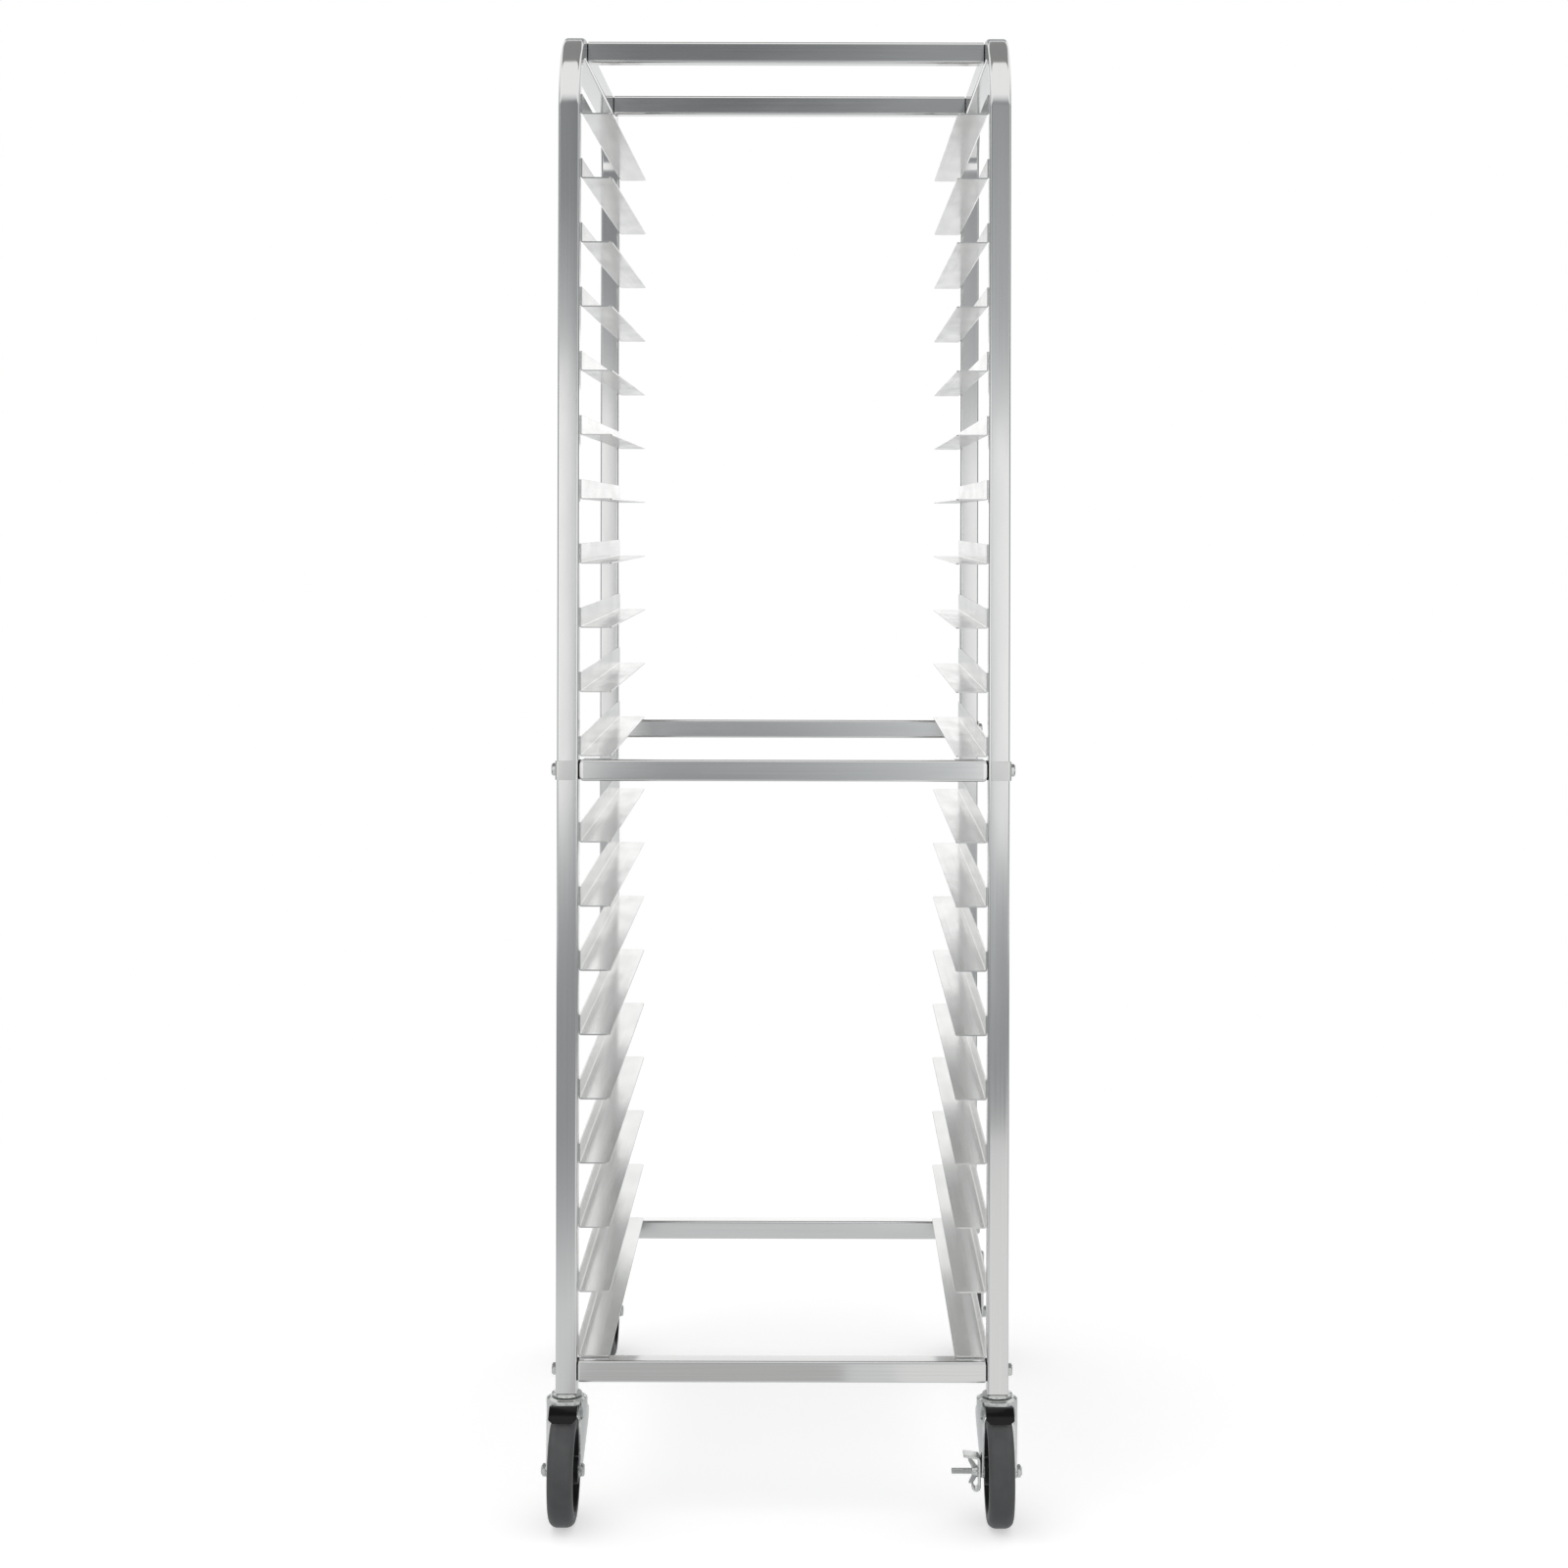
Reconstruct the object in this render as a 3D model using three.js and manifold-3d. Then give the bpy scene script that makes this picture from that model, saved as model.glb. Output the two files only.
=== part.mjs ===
// Sheet pan rack: two bent square-tube side frames, six crossbars, twenty pairs of angle
// runners and four swivel casters. Millimetres, +Z up, the loading end faces -Y.
// The origin is on the floor, under the middle of the four wheels.
import * as THREE from 'three';
import { mergeVertices } from 'three/addons/utils/BufferGeometryUtils.js';
import Module from 'manifold-3d';

// Frame
const TUBE = 25.4; // square tube, outside
const TUBE_WALL = 1.6;
const TUBE_CORNER = 3; // outside corner radius of the tube
const FRAME_WIDTH = 535.2; // over the outer faces of the posts
const FRAME_DEPTH = 660.4;
const FRAME_TOP = 1760.2;
const POST_FOOT = 144; // height of the open lower end of a post
const BEND_RADIUS = 94; // outer radius of the bent top corners
const BEND_STEPS = 6;
const TOUCH_GAP = 0.3; // gap between pieces that touch

// Crossbars: heights of their middles, and how far the top pair stands in from the frame's faces
const TOP_BAR_HEIGHT = FRAME_TOP - TUBE / 2;
const MID_BAR_HEIGHT = 880.5;
const LOW_BAR_HEIGHT = 170.2;
const TOP_BAR_INSET = 107.4;

// Runners
const LEVELS = 20;
const PITCH = 76.2;
const LOWEST_LEDGE = 185.5; // upper surface of the bottom runner
const LOWER_LEVELS = 9; // runners below the middle crossbars
const MIDDLE_STEP = 102.1; // from the last runner below the middle crossbars to the first above
const RUNNER_LENGTH = 630.4;
const RUNNER_LEDGE = 37.2;
const RUNNER_FLANGE = 24;
const RUNNER_SHEET = 1.6;
const LEDGE_CORNER = 5;

// Straps and bolts that hold the crossbars
const STRAP_SHEET = 2;
const STRAP_HEIGHT = 22.5;
const STRAP_REACH = 25.4 + STRAP_SHEET - 3.5; // how far it wraps over the front of the post
const BOLT_HEAD_WIDE = 13;
const BOLT_HEAD_TALL = 5;
const BOLT_HOLE_RADIUS = 3.6; // in the inner wall of a post

// Casters
const WHEEL_RADIUS = 63.5;
const WHEEL_WIDE = 30;
const WHEEL_SIDES = 36;
const TREAD_SHOULDER = 6;
const CORE_RADIUS = 50; // where the tread meets the core
const HUB_RADIUS = 15;
const HUB_WIDE = 35;
const AXLE_BORE = 5.2;
const AXLE_RADIUS = 4.7;
const TRAIL = 38; // how far the axle stands off the swivel axis
const CROWN_RADIUS = 24;
const CROWN_TOP = 139.4;
const CROWN_BOTTOM = 134;
const RACE_RADIUS = 18;
const LEG_SHEET = 2.6;
const FORK_INSIDE = 38;
const LEG_FOOT_RADIUS = 11;
const STEM_RADIUS = 9.5;
const INSERT_TOP = POST_FOOT + 16;
const STEM_TOP = POST_FOOT + 20;
const GUARD_WIDE = 33;
const NUT_TALL = 5;
const NUT_WIDE = 14;

// Brake of the front right caster
const BRAKE_BOLT_RADIUS = 3.3;
const BRAKE_BOLT_END = 56; // from the middle of the wheel
const LEVER_SHEET = 3;
const LEVER_WIDE = 20;
const LEVER_TOP = 19; // above the axle
const LEVER_BOTTOM = -20;
const LEVER_TAB = 18; // how far the pedal stands out
const WING_SPAN = 14;

const postX = (FRAME_WIDTH - TUBE) / 2;
const innerX = FRAME_WIDTH / 2 - TUBE;
const middleY = TRAIL; // the wheels trail towards -Y, so the frame stands behind the origin
const frontY = middleY - FRAME_DEPTH / 2;
const rearY = middleY + FRAME_DEPTH / 2;
const frontPostY = frontY + TUBE / 2;
const rearPostY = rearY - TUBE / 2;

const wasm = await Module();
wasm.setup();

const aluminium = () => new THREE.MeshStandardMaterial({ color: 0xc9cbcb, metalness: 1, roughness: 0.35 });
const zinc = () => new THREE.MeshStandardMaterial({ color: 0xb4b8b6, metalness: 1, roughness: 0.25 });
const rubber = () => new THREE.MeshStandardMaterial({ color: 0x55565a, metalness: 0, roughness: 0.55 });

// A closed three.js geometry as a solid that can be joined and cut
function solid(geometry) {
  geometry.deleteAttribute('normal');
  geometry.deleteAttribute('uv');
  const merged = mergeVertices(geometry, 1e-4);
  const vertProperties = new Float32Array(merged.attributes.position.array);
  const triVerts = new Uint32Array(merged.index.array);
  return new wasm.Manifold(new wasm.Mesh({ numProp: 3, vertProperties, triVerts }));
}

function toGeometry(manifold) {
  const mesh = manifold.getMesh();
  const geometry = new THREE.BufferGeometry();
  geometry.setAttribute('position', new THREE.BufferAttribute(mesh.vertProperties, 3));
  geometry.setIndex(new THREE.BufferAttribute(mesh.triVerts, 1));
  geometry.computeVertexNormals();
  return geometry;
}

const join = (solids) => solids.reduce((sum, one) => sum.add(one));

// A box between two corners
function block([x0, y0, z0], [x1, y1, z1]) {
  const box = new THREE.BoxGeometry(x1 - x0, y1 - y0, z1 - z0);
  box.translate((x0 + x1) / 2, (y0 + y1) / 2, (z0 + z1) / 2);
  return solid(box);
}

// A cylinder or prism along X or Z, between two places on that axis
function rod(axis, from, to, radius, [a, b], sides = 20) {
  const shape = new THREE.CylinderGeometry(radius, radius, to - from, sides);
  if (axis === 'x') {
    shape.rotateZ(-Math.PI / 2);
    shape.translate((from + to) / 2, a, b);
  } else {
    shape.rotateX(Math.PI / 2);
    shape.translate(a, b, (from + to) / 2);
  }
  return solid(shape);
}

// A flat outline in the YZ plane, extruded along X from x0 to x1
function plateYZ(outline, x0, x1, bevel = 0) {
  const geometry = new THREE.ExtrudeGeometry(outline, {
    depth: x1 - x0 - 2 * bevel,
    bevelEnabled: bevel > 0,
    bevelThickness: bevel,
    bevelSize: bevel,
    bevelOffset: -bevel,
    bevelSegments: 2,
    curveSegments: BEND_STEPS,
  });
  geometry.rotateY(Math.PI / 2);
  geometry.rotateX(Math.PI / 2);
  geometry.translate(x0 + bevel, 0, 0);
  return solid(geometry);
}

// The inverted U of a side frame, seen along X: shrink takes the wall off every side
function archOutline(foot, shrink) {
  const outer = BEND_RADIUS - shrink;
  const inner = BEND_RADIUS - TUBE + shrink;
  const y0 = frontY + BEND_RADIUS;
  const y1 = rearY - BEND_RADIUS;
  const z = FRAME_TOP - BEND_RADIUS;
  const outline = new THREE.Shape();
  outline.moveTo(y0 - outer, foot);
  outline.lineTo(y0 - inner, foot);
  outline.lineTo(y0 - inner, z);
  outline.absarc(y0, z, inner, Math.PI, Math.PI / 2, true);
  outline.absarc(y1, z, inner, Math.PI / 2, 0, true);
  outline.lineTo(y1 + inner, foot);
  outline.lineTo(y1 + outer, foot);
  outline.lineTo(y1 + outer, z);
  outline.absarc(y1, z, outer, 0, Math.PI / 2, false);
  outline.absarc(y0, z, outer, Math.PI / 2, Math.PI, false);
  outline.closePath();
  return outline;
}

// U-shaped strap round the outer side of a post, with its bolt head
function strap(side, end) {
  const postY = end === 'front' ? frontPostY : rearPostY;
  const facing = end === 'front' ? -1 : 1;
  const low = MID_BAR_HEIGHT - STRAP_HEIGHT / 2;
  const high = MID_BAR_HEIGHT + STRAP_HEIGHT / 2;
  const outerX = FRAME_WIDTH / 2;
  const wrap = outerX + STRAP_SHEET - STRAP_REACH;
  const faceY = postY + facing * TUBE / 2;
  const edges = [faceY - facing, faceY + facing * STRAP_SHEET];
  const web = block([outerX - 1, postY - TUBE / 2, low], [outerX + STRAP_SHEET, postY + TUBE / 2, high]);
  const face = block([wrap, Math.min(...edges), low], [outerX + STRAP_SHEET, Math.max(...edges), high]);
  const head = bolt(outerX + STRAP_SHEET, postY, MID_BAR_HEIGHT);
  const whole = join([web, face, head]);
  return side > 0 ? whole : whole.mirror([1, 0, 0]);
}

// Hex bolt head on the +X side, with a stub of its shank in the wall behind it
function bolt(x, y, z) {
  const head = rod('x', x - 0.5, x + BOLT_HEAD_TALL, BOLT_HEAD_WIDE / 2 / Math.cos(Math.PI / 6), [y, z], 6);
  return head.add(rod('x', x - STRAP_SHEET - 6, x, 3.2, [y, z], 12));
}

// Insert, stem and upper race of a caster, fixed in the foot of a post
function stem(x, y) {
  const half = TUBE / 2 - TUBE_WALL + 0.4;
  return join([
    block([x - half, y - half, POST_FOOT], [x + half, y + half, INSERT_TOP]),
    rod('z', POST_FOOT, STEM_TOP, STEM_RADIUS, [x, y]),
    rod('z', CROWN_TOP + TOUCH_GAP, POST_FOOT + 0.4, RACE_RADIUS, [x, y], 28),
  ]);
}

function sideFrame(side) {
  const x = side * postX;
  const half = TUBE / 2;
  const bore = half - TUBE_WALL;
  let frame = plateYZ(archOutline(POST_FOOT - 10, 0), x - half, x + half, TUBE_CORNER);
  frame = frame.subtract(block([x - 20, frontY - 1, POST_FOOT - 20], [x + 20, rearY + 1, POST_FOOT]));
  frame = frame.subtract(plateYZ(archOutline(POST_FOOT - 20, TUBE_WALL), x - bore, x + bore));
  for (const y of [frontPostY, rearPostY]) {
    for (const z of [LOW_BAR_HEIGHT, MID_BAR_HEIGHT]) {
      const ends = [side * (innerX - 1), side * postX];
      frame = frame.subtract(rod('x', Math.min(...ends), Math.max(...ends), BOLT_HOLE_RADIUS, [y, z], 12));
    }
  }
  const parts = [frame];
  for (const y of [frontPostY, rearPostY]) {
    parts.push(stem(x, y));
    const lowBolt = bolt(FRAME_WIDTH / 2, y, LOW_BAR_HEIGHT);
    parts.push(side > 0 ? lowBolt : lowBolt.mirror([1, 0, 0]));
  }
  parts.push(strap(side, 'front'), strap(side, 'rear'));
  return join(parts);
}

function crossbar(y, z) {
  const section = (size, radius) => {
    const h = size / 2;
    const shape = new THREE.Shape();
    shape.moveTo(-h, -h + radius);
    shape.absarc(-h + radius, -h + radius, radius, Math.PI, 1.5 * Math.PI, false);
    shape.absarc(h - radius, -h + radius, radius, 1.5 * Math.PI, 2 * Math.PI, false);
    shape.absarc(h - radius, h - radius, radius, 0, Math.PI / 2, false);
    shape.absarc(-h + radius, h - radius, radius, Math.PI / 2, Math.PI, false);
    shape.closePath();
    return shape;
  };
  const outer = section(TUBE, TUBE_CORNER);
  outer.holes.push(section(TUBE - 2 * TUBE_WALL, TUBE_CORNER - TUBE_WALL));
  const length = 2 * (innerX - TOUCH_GAP);
  const geometry = new THREE.ExtrudeGeometry(outer, { depth: length, bevelEnabled: false, curveSegments: 2 });
  geometry.rotateY(Math.PI / 2);
  geometry.translate(-length / 2, y, z);
  return solid(geometry);
}

// Angle runner, its ledge level and turned inwards and its flange standing up against the posts
function runner(side, ledgeTop) {
  const wall = innerX - TOUCH_GAP;
  const y0 = middleY - RUNNER_LENGTH / 2;
  const y1 = middleY + RUNNER_LENGTH / 2;
  const edge = wall - RUNNER_LEDGE;
  const r = LEDGE_CORNER;
  const plan = new THREE.Shape();
  plan.moveTo(wall, y0);
  plan.lineTo(wall, y1);
  plan.lineTo(edge + r, y1);
  plan.absarc(edge + r, y1 - r, r, Math.PI / 2, Math.PI, false);
  plan.lineTo(edge, y0 + r);
  plan.absarc(edge + r, y0 + r, r, Math.PI, 1.5 * Math.PI, false);
  plan.closePath();
  const ledge = new THREE.ExtrudeGeometry(plan, { depth: RUNNER_SHEET, bevelEnabled: false, curveSegments: 3 });
  ledge.translate(0, 0, ledgeTop - RUNNER_SHEET);
  const flange = block(
    [wall - RUNNER_SHEET, y0, ledgeTop - RUNNER_SHEET],
    [wall, y1, ledgeTop + RUNNER_FLANGE - RUNNER_SHEET],
  );
  const whole = solid(ledge).add(flange);
  return side > 0 ? whole : whole.mirror([1, 0, 0]);
}

// Height of the ledge of a level, counted from the top
function ledgeHeight(level) {
  const above = LEVELS - level;
  return LOWEST_LEDGE + above * PITCH + (above >= LOWER_LEVELS ? MIDDLE_STEP - PITCH : 0);
}

// Half of the fork: a leg that leans forward and down from the crown to the axle, seen along X
function legOutline() {
  const outline = new THREE.Shape();
  const foot = -TRAIL;
  outline.moveTo(CROWN_RADIUS - 4, CROWN_BOTTOM + 2);
  outline.lineTo(-CROWN_RADIUS + 2, CROWN_BOTTOM + 2);
  outline.lineTo(-CROWN_RADIUS - 6, CROWN_BOTTOM - 18);
  outline.lineTo(foot - LEG_FOOT_RADIUS, WHEEL_RADIUS);
  outline.absarc(foot, WHEEL_RADIUS, LEG_FOOT_RADIUS, Math.PI, 2 * Math.PI - 0.35, false);
  outline.lineTo(CROWN_RADIUS - 4, CROWN_BOTTOM - 16);
  outline.closePath();
  return outline;
}

// Swivel fork of one caster about its own swivel axis: crown, lower race, legs, guard and axle
function fork(braked) {
  const inside = FORK_INSIDE / 2;
  const outside = inside + LEG_SHEET;
  const axle = [-TRAIL, WHEEL_RADIUS];
  const nutRadius = NUT_WIDE / 2 / Math.cos(Math.PI / 6);
  const guard = GUARD_WIDE / 2;
  const guardFront = -TRAIL - 25;
  const parts = [
    rod('z', CROWN_BOTTOM, CROWN_TOP - 2, CROWN_RADIUS, [0, 0], 32),
    rod('z', CROWN_BOTTOM, CROWN_TOP, RACE_RADIUS + 2, [0, 0], 28),
    plateYZ(legOutline(), -outside, -inside),
    plateYZ(legOutline(), inside, outside),
    rod('x', outside - 0.5, outside + NUT_TALL, nutRadius, axle, 6),
    block([-guard, guardFront, WHEEL_RADIUS * 2 - 1.5], [guard, guardFront + 7, CROWN_TOP + 4]),
    block([-guard, guardFront + 5, CROWN_BOTTOM - 3], [guard, 2, CROWN_BOTTOM + 1]),
  ];
  if (braked) {
    parts.push(rod('x', -inside + 1, outside, AXLE_RADIUS, axle, 16));
  } else {
    parts.push(rod('x', -outside, outside, AXLE_RADIUS, axle, 16));
    parts.push(rod('x', -outside - NUT_TALL, -outside + 0.5, nutRadius, axle, 6));
  }
  let whole = join(parts);
  if (braked) {
    whole = whole.subtract(rod('x', -outside - 1, outside - 3, BRAKE_BOLT_RADIUS + TOUCH_GAP, axle, 16));
  }
  return whole;
}

// Wheel about the X axis, closed profile from bore to tread; a flat of its rim lies on the floor
function wheel() {
  const rim = WHEEL_RADIUS / Math.cos(Math.PI / WHEEL_SIDES);
  const half = WHEEL_WIDE / 2;
  const web = 6;
  const profile = [
    [AXLE_BORE, -HUB_WIDE / 2],
    [HUB_RADIUS, -HUB_WIDE / 2],
    [HUB_RADIUS + 2, -web],
    [CORE_RADIUS - 5, -web],
    [CORE_RADIUS - 3, -half],
    [rim - TREAD_SHOULDER, -half],
    [rim - 1.7, -half + 2.2],
    [rim, -half + TREAD_SHOULDER],
    [rim, half - TREAD_SHOULDER],
    [rim - 1.7, half - 2.2],
    [rim - TREAD_SHOULDER, half],
    [CORE_RADIUS - 3, half],
    [CORE_RADIUS - 5, web],
    [HUB_RADIUS + 2, web],
    [HUB_RADIUS, HUB_WIDE / 2],
    [AXLE_BORE, HUB_WIDE / 2],
    [AXLE_BORE, -HUB_WIDE / 2],
  ].map(([r, along]) => new THREE.Vector2(r, along));
  const geometry = new THREE.LatheGeometry(profile, WHEEL_SIDES, Math.PI / WHEEL_SIDES);
  geometry.rotateZ(-Math.PI / 2);
  return solid(geometry);
}

// Long axle bolt of the braked caster, from inside the wheel's far hub to its threaded end
function brakeBolt() {
  const end = -BRAKE_BOLT_END;
  return join([
    rod('x', end + 1, FORK_INSIDE / 2 - 1, BRAKE_BOLT_RADIUS, [0, 0], 16),
    rod('x', end, end + 1.5, BRAKE_BOLT_RADIUS - 1, [0, 0], 16),
  ]);
}

// Brake lever about the axle: an upright plate with a pedal on top and a hooked lower end
function brakeLever() {
  const near = -FORK_INSIDE / 2 - LEG_SHEET - TOUCH_GAP;
  const far = near - LEVER_SHEET;
  const half = LEVER_WIDE / 2;
  const pedal = block([-LEVER_TAB, -half, -LEVER_SHEET / 2], [0.5, half, LEVER_SHEET / 2]);
  const hook = block([-6, -half + 3, 0], [1, half - 3, 2.5]);
  const parts = [
    block([far, -half, LEVER_BOTTOM], [near, half, LEVER_TOP]),
    pedal.rotate([0, 8, 0]).translate([far, 0, LEVER_TOP - LEVER_SHEET / 2]),
    hook.rotate([0, -20, 0]).translate([far, 0, LEVER_BOTTOM]),
  ];
  return join(parts).subtract(rod('x', far - 1, near + 1, BRAKE_BOLT_RADIUS + TOUCH_GAP, [0, 0], 16));
}

// Wing nut that clamps the lever on the bolt
function wingNut() {
  const near = -FORK_INSIDE / 2 - LEG_SHEET - LEVER_SHEET - 2 * TOUCH_GAP;
  const far = near - 7;
  const body = rod('x', far, near, 6.5, [0, 0], 6);
  const parts = [body];
  for (const turn of [0, 180]) {
    const wing = block([far - 4, 3, -1.5], [far + 4, WING_SPAN, 1.5]).rotate([turn + 60, 0, 0]);
    parts.push(wing);
  }
  return join(parts).subtract(rod('x', far - 5, near + 1, BRAKE_BOLT_RADIUS + TOUCH_GAP, [0, 0], 16));
}

const rack = new THREE.Group();

function add(name, shape, material, parent = rack, place = [0, 0, 0]) {
  const mesh = new THREE.Mesh(toGeometry(shape), material);
  mesh.name = name;
  mesh.position.set(...place);
  parent.add(mesh);
}

for (const [name, side] of [['left', -1], ['right', 1]]) {
  add(`${name}_side_frame`, sideFrame(side), aluminium());
  for (let level = 1; level <= LEVELS; level += 1) {
    const number = String(level).padStart(2, '0');
    add(`${name}_runner_${number}`, runner(side, ledgeHeight(level)), aluminium());
  }
}

add('top_front_crossbar', crossbar(frontY + TOP_BAR_INSET + TUBE / 2, TOP_BAR_HEIGHT), aluminium());
add('top_rear_crossbar', crossbar(rearY - TOP_BAR_INSET - TUBE / 2, TOP_BAR_HEIGHT), aluminium());
add('mid_front_crossbar', crossbar(frontPostY, MID_BAR_HEIGHT), aluminium());
add('mid_rear_crossbar', crossbar(rearPostY, MID_BAR_HEIGHT), aluminium());
add('bottom_front_crossbar', crossbar(frontPostY, LOW_BAR_HEIGHT), aluminium());
add('bottom_rear_crossbar', crossbar(rearPostY, LOW_BAR_HEIGHT), aluminium());

for (const [end, y] of [['front', frontPostY], ['rear', rearPostY]]) {
  for (const [name, side] of [['left', -1], ['right', 1]]) {
    const braked = end === 'front' && side > 0;
    const caster = new THREE.Group();
    caster.position.set(side * postX, y, 0);
    rack.add(caster);
    const axle = [0, -TRAIL, WHEEL_RADIUS];
    const forkShape = side > 0 ? fork(braked) : fork(false).mirror([1, 0, 0]);
    add(`${end}_${name}_caster_fork`, forkShape, zinc(), caster);
    add(`${end}_${name}_caster_wheel`, wheel(), rubber(), caster, axle);
    if (braked) {
      add('front_right_axle_bolt', brakeBolt(), zinc(), caster, axle);
      add('front_right_brake_lever', brakeLever(), zinc(), caster, axle);
      add('front_right_brake_wing_nut', wingNut(), zinc(), caster, axle);
    }
  }
}

export default rack;
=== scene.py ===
import math

import bmesh
import bpy
from bpy.props import FloatProperty, FloatVectorProperty, IntProperty, PointerProperty
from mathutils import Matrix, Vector


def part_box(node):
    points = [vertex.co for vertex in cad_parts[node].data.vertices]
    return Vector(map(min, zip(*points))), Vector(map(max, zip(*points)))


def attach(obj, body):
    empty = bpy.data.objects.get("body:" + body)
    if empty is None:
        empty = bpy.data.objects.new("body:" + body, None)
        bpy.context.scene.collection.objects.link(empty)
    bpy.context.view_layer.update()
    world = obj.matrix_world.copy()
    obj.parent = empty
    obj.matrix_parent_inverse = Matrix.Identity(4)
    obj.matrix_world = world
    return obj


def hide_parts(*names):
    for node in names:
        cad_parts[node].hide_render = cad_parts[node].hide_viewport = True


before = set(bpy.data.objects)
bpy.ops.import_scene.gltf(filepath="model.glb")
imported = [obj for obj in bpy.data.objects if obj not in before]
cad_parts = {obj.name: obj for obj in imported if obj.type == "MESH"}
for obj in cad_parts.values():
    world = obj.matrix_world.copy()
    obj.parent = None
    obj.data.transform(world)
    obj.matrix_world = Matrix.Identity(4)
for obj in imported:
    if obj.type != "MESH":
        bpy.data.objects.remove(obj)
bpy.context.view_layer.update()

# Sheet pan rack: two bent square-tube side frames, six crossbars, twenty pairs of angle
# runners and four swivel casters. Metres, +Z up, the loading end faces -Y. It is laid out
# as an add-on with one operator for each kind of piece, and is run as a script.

bl_info = {
    "name": "Sheet pan rack",
    "version": (1, 0, 0),
    "blender": (4, 5, 0),
    "location": "View3D > Sidebar > Rack",
    "description": "Builds the visible pieces of a bakery sheet pan rack round its packed frame",
    "category": "Add Mesh",
}

MM = 0.001
SIDES = (("left", -1), ("right", 1))
ENDS = (("front", -1), ("rear", 1))
LEVELS = 20

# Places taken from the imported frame
frame_low, frame_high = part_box("right_side_frame")
front_low, front_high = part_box("mid_front_crossbar")
rear_low, rear_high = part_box("mid_rear_crossbar")
low_bar_low, low_bar_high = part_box("bottom_front_crossbar")
TUBE = front_high.y - front_low.y
TOUCH_GAP = 0.3 * MM
INNER_X = front_high.x + TOUCH_GAP
POST_X = INNER_X + TUBE / 2
OUTER_X = INNER_X + TUBE
FRONT_POST_Y = (front_low.y + front_high.y) / 2
REAR_POST_Y = (rear_low.y + rear_high.y) / 2
FRONT_FACE_Y = front_low.y
MID_BAR_Z = (front_low.z + front_high.z) / 2
LOW_BAR_Z = (low_bar_low.z + low_bar_high.z) / 2
TOP_Z = frame_high.z


def linear(code):
    """An sRGB hex colour as linear red, green, blue and alpha."""
    channels = [int(code[i:i + 2], 16) / 255 for i in (1, 3, 5)]
    return [c / 12.92 if c <= 0.04045 else ((c + 0.055) / 1.055) ** 2.4 for c in channels] + [1.0]


def length(name, description, default):
    """A length property, given in metres."""
    return FloatProperty(name=name, description=description, default=default, min=0.0,
                         unit="LENGTH", subtype="DISTANCE", precision=4)


def colour(name, description, code):
    """A colour property, given as an sRGB hex value."""
    return FloatVectorProperty(name=name, description=description, default=linear(code), size=4,
                               min=0.0, max=1.0, subtype="COLOR")


class RackSizes(bpy.types.PropertyGroup):
    """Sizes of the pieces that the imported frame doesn't give"""

    tube_corner: length("Tube corner", "Outside corner radius of the square tube", 3 * MM)
    tube_wall: length("Tube wall", "Wall thickness of the square tube", 1.6 * MM)
    bend_radius: length("Bend radius", "Outer radius of the bent top corners", 94 * MM)
    post_foot: length("Post foot", "Height of the open lower end of a post", 144 * MM)
    bar_gap: length("Bar gap", "Gap between a crossbar and the post beside it", 1.4 * MM)
    bar_end_radius: length("Bar end radius", "Rounding of a lower crossbar's ends", 4.5 * MM)
    sheet: length("Runner sheet", "Thickness of the runner sheet", 1.6 * MM)
    runner_bend: length("Runner bend", "Outer radius of the fold along a runner", 2.6 * MM)
    ledge_corner: length("Ledge corner", "Radius of a ledge's two corners", 5 * MM)
    strap_sheet: length("Strap sheet", "Thickness of the strap round a post", 2 * MM)
    strap_height: length("Strap height", "Height of the strap", 22.5 * MM)
    bolt_width: length("Bolt width", "Hex bolt head across its flats", 13 * MM)
    bolt_tall: length("Bolt head", "Height of a hex bolt head", 5 * MM)
    trail: length("Trail", "Offset of the axle from the swivel axis", 38 * MM)
    wheel_width: length("Wheel width", "Width of a wheel over its tread", 30 * MM)
    core_radius: length("Core radius", "Radius where the tread meets the core", 50 * MM)
    crown_radius: length("Crown radius", "Radius of the fork's round crown", 24 * MM)
    fork_sheet: length("Fork sheet", "Thickness of a fork leg", 2.6 * MM)
    axle_nut: length("Axle nut", "Axle nut across its flats", 14 * MM)
    curve_steps: IntProperty(name="Curve steps", description="Steps in a tube bend",
                             default=32, min=6, max=96)


class RackColours(bpy.types.PropertyGroup):
    """Colours of the finishes and of the studio"""

    aluminium: colour("Aluminium", "Extruded aluminium tube", "#E2E2E1")
    sheet: colour("Runner sheet", "Rolled aluminium sheet", "#E1E1DF")
    zinc: colour("Zinc", "Bright zinc plating", "#CFD1CF")
    tread: colour("Tread", "Grey thermoplastic rubber", "#454647")
    core: colour("Core", "Black polypropylene", "#070708")
    guard: colour("Guard", "Glossy black ABS", "#060607")
    floor: colour("Floor", "Pale studio floor", "#D2D2D2")


# ---------------------------------------------------------------- mesh tools

def arc(centre, radius, start, end, steps):
    """Points on an arc in a plane, both ends included, angles in degrees."""
    turn = [math.radians(start + (end - start) * i / steps) for i in range(steps + 1)]
    return [(centre[0] + radius * math.cos(a), centre[1] + radius * math.sin(a)) for a in turn]


def rounded_rectangle(half_a, half_b, corner, steps=5):
    """Outline of a rectangle with rounded corners, about its middle."""
    points = []
    for start, sa, sb in ((0, 1, 1), (90, -1, 1), (180, -1, -1), (270, 1, -1)):
        points += arc((sa * (half_a - corner), sb * (half_b - corner)), corner,
                      start, start + 90, steps)
    return points


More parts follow.
